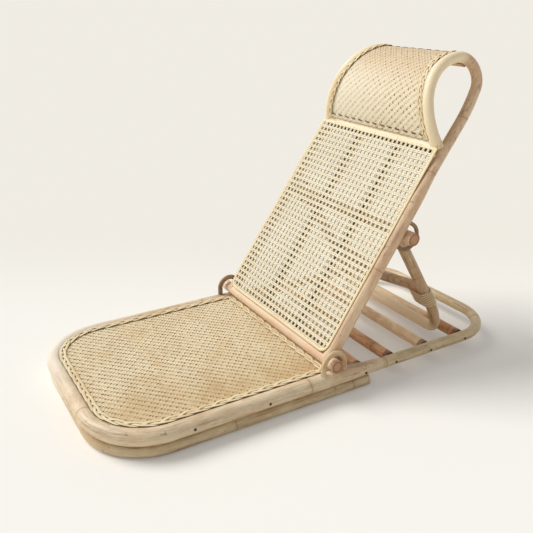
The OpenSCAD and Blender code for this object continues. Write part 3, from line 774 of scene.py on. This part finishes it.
def round_an_arch(centre, bend):
    """The way round an arch that stands in the YZ plane, and the two ways across it."""
    def axes(place):
        back = place.part(1) - centre.y
        up = place.part(2) - centre.z
        out = (back * back + up * up).maths("SQRT") - bend
        return up.maths("ARCTAN2", back) * bend, out, place.part(0)
    return axes


arch_tones = (tone(222, 200, 160), tone(196, 160, 118), tone(122, 84, 50))
# A darker copy of the arch tones: painted shade for the prop's arches, which stand in shadow. The left
# hinge arch gets them too.
shaded_arch_tones = (tone(160, 128, 94), tone(128, 96, 66), tone(80, 56, 38))
arch_half, hinge_bend, prop_arch_bend = 0.006, 0.027, 0.029
for name, bend in (("hinge_arch_right", hinge_bend), ("hinge_arch_left", hinge_bend),
                   ("prop_arch_right", prop_arch_bend), ("prop_arch_left", prop_arch_bend)):
    low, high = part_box(name)
    middle = Vector(((low.x + high.x) / 2, (low.y + high.y) / 2, high.z - bend - arch_half))
    if name.startswith("prop"):
        low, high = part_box("prop_rod")
        middle = (low + high) / 2
    tones = arch_tones if name == "hinge_arch_right" else shaded_arch_tones
    dress(name, rattan(name + "_cane", round_an_arch(middle, bend), tones, wear=0.8))


# Backrest poles
# Each side pole runs up from the hinge rod, is thinned at the top and bent forward
# into a closed loop beside the headrest. Two thinner poles stand behind the net.
lean = radians(34.2)
hinge_z = (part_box("hinge_rod")[0].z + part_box("hinge_rod")[1].z) / 2
back_place = Matrix.Translation((0, 0, hinge_z)) @ Matrix.Rotation(pi / 2 - lean, 4, "X")


def up_the_back(place):
    """The way up the backrest, and the two ways across a pole of it."""
    rise = place.part(2) - hinge_z
    return (place.part(1) * sin(lean) + rise * cos(lean), place.part(0),
            rise * sin(lean) - place.part(1) * cos(lean))


def behind_net(place):
    """1 on the part of the side poles' faces that the net covers, where painted shade stands in for the
    net's shadow.
    """
    run, across, out = up_the_back(place)
    edge = run * -0.013 + 0.212
    inner = 1 - (abs(across) - edge).step(-0.001, 0.001)
    return out.step(0.0105, 0.0135) * inner * run.step(0.024, 0.03) * (1 - run.step(0.496, 0.5))


def front_half(place):
    """1 on the front of what stands behind the net, between the side poles: painted shade where the net's
    shadow falls.
    """
    run, across, out = up_the_back(place)
    return out.step(-0.006, -0.001) * (1 - abs(across).step(0.19, 0.2))


def front_leg(place):
    """1 on the paler thin end of a side pole, which comes down beside the headrest."""
    run, across, out = up_the_back(place)
    return out.step(0.0, 0.02) * run.step(0.492, 0.502) * 0.85


rail_tones = (tone(232, 204, 168), tone(206, 162, 126), tone(124, 84, 56))
cream = tone(252, 234, 196)
# The thin ends are paler cane; the faces under the net get painted shade.
rail_stains_and_shade = ((front_leg, cream), (behind_net, shade_behind_net))
dress("back_rail_right", rattan("right_rail", up_the_back, rail_tones, (0.22, 0.455, 0.6),
                                spots=0.5, stains_and_light=rail_stains_and_shade))
dress("back_rail_left", rattan("left_rail", up_the_back, rail_tones, (0.3, 0.52),
                               spots=0.5, stains_and_light=rail_stains_and_shade))
# The fronts of the inner poles and the low bar get painted shade, for the net's shadow.
for name, rings in (("inner_pole_right", (0.15, 0.36)), ("inner_pole_left", (0.24, 0.42))):
    dress(name, rattan(name + "_skin", up_the_back, (copper, brown, char), rings,
                       stains_and_light=((front_half, shade_behind_net),)))
dress("head_bar_low", rattan("low_bar_skin", as_it_lies, (copper, brown, char), (0.07,),
                             stains_and_light=((front_half, shade_behind_net),)))
dress("head_bar_top", rattan("top_bar_skin", as_it_lies, rail_tones, (0.07,)))


# Cane net
# Open cane webbing: two canes side by side go each way, and each pair is woven over
# and under the other, which leaves a square hole between four pairs.
net_pitch_x, net_pitch_u = 0.01419, 0.01476
net_columns, net_rows = 30, 34
across_wide, upright_wide = 0.0041, 0.0036
net_out, border_out, border_thick = 0.0154, 0.0161, 0.0028
net_foot, net_head, net_edge = 0.0074, 0.5, 0.007
net_half_foot, net_half_head, net_corner = 0.21401, 0.2076, 0.022
net_thick, net_over = 0.0030, 0.002
border_over, border_bend, border_step = 0.0025, 0.002, 0.006
net_tones = (tone(244, 235, 209), tone(232, 217, 182), tone(112, 92, 60))


def webbing(name, bands, crossings, pitch, crossing_pitch, width):
    """Pairs of canes along X that are woven with other pairs."""
    rise, widths_apart = 0.0006, 1.04
    pieces = []
    for cane_of_pair in (0, 1):
        sign = 1 - 2 * cane_of_pair
        heights = [sign * rise, -sign * rise, -sign * rise / 3, sign * rise / 3]
        piece = cane(4 * crossings + 4, crossing_pitch / 4, width, net_thick,
                     lambda k: heights[(k - 2) % 4], corners=6)
        start = (-(crossings - 1) / 2 * crossing_pitch - 2.5 * crossing_pitch / 4,
                 -(bands - 1) / 2 * pitch + (cane_of_pair - 0.5) * width * widths_apart, 0)
        settled(piece, Matrix.Translation(start))
        repeat(piece, (0, pitch, 0), bands)
        pieces.append(piece)
    pairs = joined(pieces, name)
    flat_map(pairs, (0, -bands / 2 * pitch))
    return pairs


def in_net(co):
    """Whether a point of the backrest's plane is inside the border's middle."""
    inset = net_edge / 2
    share = (co.y - net_foot) / (net_head - net_foot)
    half = net_half_foot + (net_half_head - net_half_foot) * share - inset
    low, high, bend = net_foot + inset, net_head + net_over, net_corner - inset
    if co.y < low or co.y > high or abs(co.x) > half:
        return False
    over, past = abs(co.x) - (half - bend), low + bend - co.y
    return over <= 0 or past <= 0 or hypot(over, past) <= bend


net_top_hole = 0.4947
net_centre_u = net_top_hole - (net_rows - 1) / 2 * net_pitch_u
across = webbing("net_across", net_rows + 1, net_columns + 1, net_pitch_u, net_pitch_x, across_wide)
settled(across, Matrix.Translation((0, net_centre_u, net_out)))
upright = webbing("net_upright", net_columns + 1, net_rows + 1, net_pitch_x, net_pitch_u, upright_wide)
settled(upright, Matrix.Translation((0, net_centre_u, net_out)) @ Matrix.Rotation(pi / 2, 4, "Z"))
for piece, pitch in ((across, net_pitch_u / 2), (upright, net_pitch_x / 2)):
    trim(piece, in_net)
    settled(piece, back_place)
    # Painted shade on the cane edges round the net's holes.
    smooth(piece, split_cane(piece.name + "_cane", net_tones, pitch, hole_shade=0.6))
    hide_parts("back_net")
    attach(piece, "backrest")

border_head = net_head + border_over
edge = net_edge / 2
border_line = rounded([
    (Vector((net_half_foot - edge, net_foot + edge, 0)), net_corner - edge),
    (Vector((net_half_head - edge, border_head, 0)), border_bend),
    (Vector((edge - net_half_head, border_head, 0)), border_bend),
    (Vector((edge - net_half_foot, net_foot + edge, 0)), net_corner - edge),
], border_step)
border_ways = directions(border_line, True)
out_of_back = Vector((0, 0, 1))
border = swept("net_border_cane", border_line, [way.cross(out_of_back) for way in border_ways],
               [out_of_back] * len(border_line), net_edge, border_thick, closed=True)
settled(border, back_place @ Matrix.Translation((0, 0, border_out)))
border_tones = (tone(240, 224, 184), tone(226, 196, 146), tone(160, 118, 70))
smooth(border, split_cane("border_cane", border_tones, half_girth(net_edge, border_thick), edge=0.35))
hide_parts("net_border")
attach(border, "backrest")


# Headrest
# A sheet woven like the seat is bent over the two loops, from the bar under their crowns
# down to the flat band at their feet. Each bend of a loop has its radius and its degrees.
side_top = Vector((0.208, 0.468, 0))
loop_inward, loop_turn, loop_back = radians(16.2), radians(10.7), radians(14.75)
loop_up = Vector((-sin(loop_inward), cos(loop_inward), 0))
loop_front = Vector((-cos(loop_inward) * sin(loop_turn), -sin(loop_inward) * sin(loop_turn),
                     cos(loop_turn)))
loop_outer = loop_up.cross(loop_front)
rear_leg = 0.1234
loop_bends = [(0.493, 11.1), (0.0456, 129.5), (0.1138, 77.2), (0.1595, 31.9)]
bend_from, bend_centre = [-loop_back], []
for index, (radius, angle) in enumerate(loop_bends):
    heading = bend_from[index]
    if index == 0:
        centre = (rear_leg * cos(loop_back) + radius * sin(loop_back),
                  -rear_leg * sin(loop_back) + radius * cos(loop_back))
    else:
        change = loop_bends[index - 1][0] - radius
        centre = (bend_centre[-1][0] + change * sin(heading), bend_centre[-1][1] - change * cos(heading))
    bend_centre.append(centre)
    bend_from.append(heading + radians(angle))
crown = radians(84)
panel_foot = bend_from[3] + radians(28)
panel_out = 0.00725


def loop_point(heading, out):
    """A point beside the loops' middle line, as (up the back, out of its front)."""
    k = 1 if heading < bend_from[2] else 2 if heading < bend_from[3] else 3
    radius = loop_bends[k][0] + out
    p = bend_centre[k][0] + radius * sin(heading)
    q = bend_centre[k][1] - radius * cos(heading)
    return side_top.y + p * loop_up.y + q * loop_front.y, q * loop_front.z


def loop_heading(run):
    """The heading at a distance down the sheet from its crown."""
    start = crown
    for k in (1, 2, 3):
        radius = loop_bends[k][0] + panel_out
        stretch = (bend_from[k + 1] - start) * radius
        if run <= stretch or k == 3:
            return start + run / radius
        run -= stretch
        start = bend_from[k + 1]


def loop_side(u, n, gap):
    """Half the width between the loops' planes, less a gap on each side."""
    return side_top.x - (gap + (u - side_top.y) * loop_outer.y + n * loop_outer.z) / loop_outer.x


def outward(heading):
    """The direction straight out of the sheet at a heading."""
    up = loop_up.y * sin(heading) - loop_front.y * cos(heading)
    return Vector((0, up, -loop_front.z * cos(heading))).normalized()


def head_length():
    """The sheet's length over the curve, from its crown to its foot."""
    run = (bend_from[2] - crown) * (loop_bends[1][0] + panel_out)
    run += (bend_from[3] - bend_from[2]) * (loop_bends[2][0] + panel_out)
    return run + (panel_foot - bend_from[3]) * (loop_bends[3][0] + panel_out)


head_pitch_x, head_pitch_s = 0.00475, 0.0044
head_weft_wide, head_warp_wide = 0.0043, 0.0046
head_thick, head_rise = 0.0010, 0.0005
sheet_hem, sheet_gap = 0.001, 0.0114
head_columns = 88
head_rows = int(head_length() / head_pitch_s) + 1


def in_headrest(co):
    """Whether a point of the flat sheet is inside its four edges."""
    run = -co.y
    if run < sheet_hem or run > head_length() - sheet_hem:
        return False
    u, n = loop_point(loop_heading(run), panel_out)
    return abs(co.x) < loop_side(u, n, sheet_gap)


head_centre = Matrix.Translation((0, -head_length() / 2, 0))
head_weft, head_warp = woven("headrest", head_columns, head_rows, head_pitch_x, head_pitch_s,
                             (head_weft_wide, head_warp_wide), head_thick, head_rise, head_centre)
head_tones = (tone(248, 236, 208), tone(236, 213, 172), tone(92, 60, 28))


def tanned_crown(place):
    """Up to 1 on the top of the headrest, which is browner than its front."""
    return up_the_back(place)[0].step(0.56, 0.66) * 0.4


def lit_left_side(place):
    """Up to 1 on the headrest's left side: a painted highlight where the lamp falls, paler than its right.
    """
    run, across, out = up_the_back(place)
    return (across * -1).step(-0.08, 0.17) * (1 - run.step(0.58, 0.67)) * 0.6


# The headrest's top is browner; its left side gets a painted highlight.
head_stains_and_light = ((tanned_crown, tone(200, 160, 108)), (lit_left_side, tone(250, 241, 218)))
# Painted shade where each cane comes up from under another, and partly at the canes' edges.
for piece, pitch, dive in ((head_weft, head_pitch_s, (head_pitch_x, 0, 1, 0.6)),
                           (head_warp, head_pitch_x, (head_pitch_s, head_columns - 2, -1, 0.15))):
    trim(piece, in_headrest)
    for vertex in piece.data.vertices:
        x, run, rise = vertex.co.x, -vertex.co.y, vertex.co.z
        u, n = loop_point(loop_heading(run), panel_out + rise)
        vertex.co = (x, u, n)
    settled(piece, back_place)
    smooth(piece, split_cane(piece.name + "_cane", head_tones, pitch, dive, 0.1, stains_and_light=head_stains_and_light))
    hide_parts("headrest_panel")
    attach(piece, "backrest")


# Plaited edge of the headrest
# The same three-cane braid as on the seat follows the inner side of each loop and
# crosses the top, over the sheet's cut edges.
head_plait, head_plait_thick = 0.0145, 0.004
plait_out, plait_gap, top_gap, head_period = 0.0109, 0.0130, 0.0095, 0.07
plait_end, plait_steps, top_steps = panel_foot - radians(2), 110, 100
pieces = []
for side in (1, -1):
    line, ups = [], []
    for k in range(plait_steps + 1):
        heading = crown + (plait_end - crown) * k / plait_steps
        u, n = loop_point(heading, plait_out)
        line.append(Vector((side * loop_side(u, n, plait_gap), u, n)))
        ups.append(outward(heading))
    pieces.append(braid(f"headrest_plait_{side}", line, ups, head_plait, head_plait_thick, head_period))
top_heading = crown + radians(7.5)
u, n = loop_point(top_heading, plait_out)
reach = loop_side(u, n, top_gap)
line = [Vector((reach * (1 - 2 * k / top_steps), u, n)) for k in range(top_steps + 1)]
pieces.append(braid("headrest_plait_top", line, [outward(top_heading)] * len(line),
                    head_plait, head_plait_thick, head_period))
head_edge = joined(pieces, "headrest_edge")
settled(head_edge, back_place)
strand_girth = half_girth(head_plait * strand_share, head_plait_thick * strand_height)
# Strong dark edges: painted shade in the gaps between the plaited strands, over their own darker edges.
smooth(head_edge, split_cane("headrest_edge_cane", braid_tones, strand_girth, edge=0.95))
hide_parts("headrest_braid")
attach(head_edge, "backrest")


# Band and lacing
# A flat split cane covers the joint between the net and the headrest, held by small
# nails. A thin brown cane stitches the headrest's weave down along its upper edge.
band_made, band_skin, place = material("band_cane")
run, rise, out = up_the_back(place)
grain = (place.part(0) * 12).with_parts(run * 700, out * 50).noise(3, 0.6)
tint = (place.part(0) * 6).with_parts(run * 40, 0.0).noise(2).step(0.4, 0.7)
colour = (tint * 0.5).blend(tone(244, 230, 198), tone(230, 206, 164))
colour = (grain.step(0.5, 0.8) * 0.4).blend(colour, tone(170, 130, 84))
finish(band_skin, colour, grain * 0.3 + 0.3, grain, 0.0003, 0.6)
dress("headrest_band", band_made)

stitch_gap, stitch_long, stitch_wide, stitch_thick = 0.0266, 0.0140, 0.0027, 0.0012
stitch_slant, stitch_out, stitch_dip = 0.0012, 0.0028, 0.0020
stitch_heading = panel_foot - radians(3.9)
out = outward(panel_foot)
stitches = []
for k in range(-6, 7):
    line = []
    for step in range(9):
        share = step / 4 - 1
        heading = stitch_heading - share * stitch_slant / loop_bends[3][0]
        u, n = loop_point(heading, panel_out + stitch_out - stitch_dip * share ** 4)
        line.append(Vector((k * stitch_gap - share * stitch_long / 2, u, n)))
    ways = directions(line, False)
    stitches.append(swept(f"stitch_{k}", line, [way.cross(out).normalized() for way in ways],
                          [out] * len(line), stitch_wide, stitch_thick, corners=6, strand=k + 7))
lacing = settled(joined(stitches, "headrest_lacing"), back_place)
lacing_tones = (tone(104, 70, 38), tone(86, 56, 30), tone(56, 36, 20))
smooth(lacing, split_cane("lacing_cane", lacing_tones, half_girth(stitch_wide, stitch_thick)))
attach(lacing, "backrest")


# Feet of the headrest loops
# The front end of each side pole is pared round and glued against the pole's own
# straight part, just over the net's corner.
foot_heading = bend_from[4]
foot_round, foot_long, foot_bevel = 0.0117, 0.0095, 0.0045
foot_sunk, foot_aside = 0.0015, 0.0008
feet = []
for side in (1, -1):
    p = bend_centre[3][0] + loop_bends[3][0] * sin(foot_heading)
    q = bend_centre[3][1] - loop_bends[3][0] * cos(foot_heading)
    end = side_top + loop_up * p + loop_front * q
    way = (loop_up * cos(foot_heading) + loop_front * sin(foot_heading)).normalized()
    end.x, way.x = (end.x + foot_aside) * side, way.x * side
    bpy.ops.mesh.primitive_cylinder_add(vertices=40, radius=foot_round, depth=foot_long)
    foot = bpy.context.object
    bpy.ops.object.mode_set(mode="EDIT")
    bpy.ops.mesh.select_mode(type="VERT")
    select_vertices(lambda co: co.z > foot_long * 0.4)
    bpy.ops.mesh.bevel(offset=foot_bevel, segments=5, profile=0.5)
    bpy.ops.object.mode_set(mode="OBJECT")
    turn = way.to_track_quat("Z", "Y").to_matrix().to_4x4()
    settled(foot, back_place @ Matrix.Translation(end + way * (foot_long / 2 - foot_sunk)) @ turn)
    feet.append(foot)
loop_feet = joined(feet, "loop_feet")
smooth(loop_feet, rattan("loop_foot_skin", up_the_back, (cream, tone(224, 198, 158), brown)))
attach(loop_feet, "backrest")


# Prop
# A thinner pole is bent into a U: its legs hang from a peeled rod behind the side
# poles, and its foot bar stands against the last slat. A bent pole braces the legs.
rod_low, rod_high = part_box("prop_rod")
prop_middle = (rod_low + rod_high) / 2
prop_slope, leg_x, prop_reach, prop_bend = radians(58.2), 0.175, 0.3215, 0.03
prop_place = Matrix.Translation((0, prop_middle.y, prop_middle.z)) @ Matrix.Rotation(-prop_slope, 4, "X")


def down_the_prop(place):
    """The distances across the prop, down its legs, and out of its rear."""
    back = place.part(1) - prop_middle.y
    rise = place.part(2) - prop_middle.z
    return (place.part(0), back * cos(prop_slope) - rise * sin(prop_slope),
            back * sin(prop_slope) + rise * cos(prop_slope))


def rod_front(place):
    """1 on the front of the prop's rod, between the side poles: painted shade where the net's shadow falls.
    """
    run, across, out = up_the_back(place)
    return out.step(-0.018, -0.012) * (1 - abs(across).step(0.188, 0.195))


# The rod's front behind the net gets painted shade.
dress("prop_rod", rod_finish("prop_rod_wood", rod_high.x, (rod_high.z - rod_low.z) / 2, prop_middle,
                             stains_and_light=((rod_front, shade_behind_net),)))


def shaved_end(place):
    """1 at the brace's ends, which are shaved flat where the binding starts."""
    return abs(place.part(0)).step(0.134, 0.142) * 0.8


def lit_foot_bar(place):
    """Up to 1 on the foot bar: a painted highlight that makes it paler."""
    return down_the_prop(place)[1].step(0.285, 0.315) * 0.75


prop_tones = (tone(212, 184, 146), tone(186, 148, 108), tone(108, 76, 50))
round_the_prop = round_a_bend(leg_x, prop_reach, prop_bend, down_the_prop)
# The prop's foot bar gets a painted highlight.
dress("prop_frame", rattan("prop_skin", round_the_prop, prop_tones, (-0.15,), wear=0.8, spots=0.6,
                           stains_and_light=((lit_foot_bar, tone(255, 232, 196)),)))
dress("prop_brace", rattan("brace_skin", as_it_lies, (tone(206, 172, 132), tone(176, 136, 98), char),
                           (0.05,), wear=0.8, spots=0.6, stains_and_light=((shaved_end, tone(216, 166, 134)),)))


# Bindings
# A long flat cane is wound round each leg and the brace's end, turn beside turn, and
# its ends are tucked under the last turns.
leg_r, brace_r, brace_gap = 0.0128, 0.0125, 0.0002
brace_x = leg_x - leg_r - brace_gap - brace_r
wrap_leg, wrap_brace = leg_r + 0.0014, brace_r + 0.0020
wrap_span = leg_x - brace_x + 0.0045
wrap_turns, wrap_pitch, wrap_start, ring_steps = 7, 0.0067, 0.2405, 32
wrap_wide, wrap_thick, wrap_slope = 0.0056, 0.0034, 2.2
wrap_tones = (tone(226, 200, 162), tone(200, 166, 126), tone(70, 46, 30))
for side in (1, -1):
    line, sides, ups = [], [], []
    for k in range(wrap_turns * ring_steps + 1):
        angle = 2 * pi * k / ring_steps
        c, s = cos(angle), sin(angle)
        x = wrap_leg * c if c >= 0 else wrap_brace * c - wrap_span * min(1, -wrap_slope * c)
        z = (wrap_leg if c >= 0 else wrap_brace) * s
        y = wrap_start - wrap_pitch * k / ring_steps
        line.append(Vector((side * (leg_x + x), y, z)))
    ways = directions(line, False)
    for way in ways:
        flat = Vector((way.x, 0, way.z)).normalized()
        out = flat.cross(Vector((0, 1, 0)))
        ups.append(out)
        sides.append(way.cross(out).normalized())
    name = "binding_right" if side > 0 else "binding_left"
    wrap = swept(name, line, sides, ups, wrap_wide, wrap_thick)
    settled(wrap, prop_place)
    # Dark edges: painted shade in the gaps between the turns, over the cane's own darker edges.
    smooth(wrap, split_cane(name + "_cane", wrap_tones, half_girth(wrap_wide, wrap_thick), edge=0.8))
    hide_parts("prop_" + name)
    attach(wrap, "prop")


# Nails
# Short nails with flat round heads, dull from the weather, driven through the side
# poles into each slat and bar, and through the band into the bar behind it.
def nail_finish(name, clean, rusty):
    """Dull metal with rust in patches."""
    made, skin, place = material(name)
    rust = (place.part(0) * 300).with_parts(place.part(1) * 300, place.part(2) * 300).noise(3, 0.6)
    rusted = rust.step(0.35, 0.6)
    place.tree.links.new((0.6 - rusted * 0.5).socket, skin.inputs["Metallic"])
    finish(skin, rusted.blend(clean, rusty), rust * 0.4 + 0.3, rust, 0.0002, 0.6)
    return made


dress("nails_base", nail_finish("iron_nails", tone(84, 66, 54), tone(78, 50, 34)))
dress("nails_back", nail_finish("brass_nails", tone(226, 204, 160), tone(214, 188, 144)))

low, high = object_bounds()
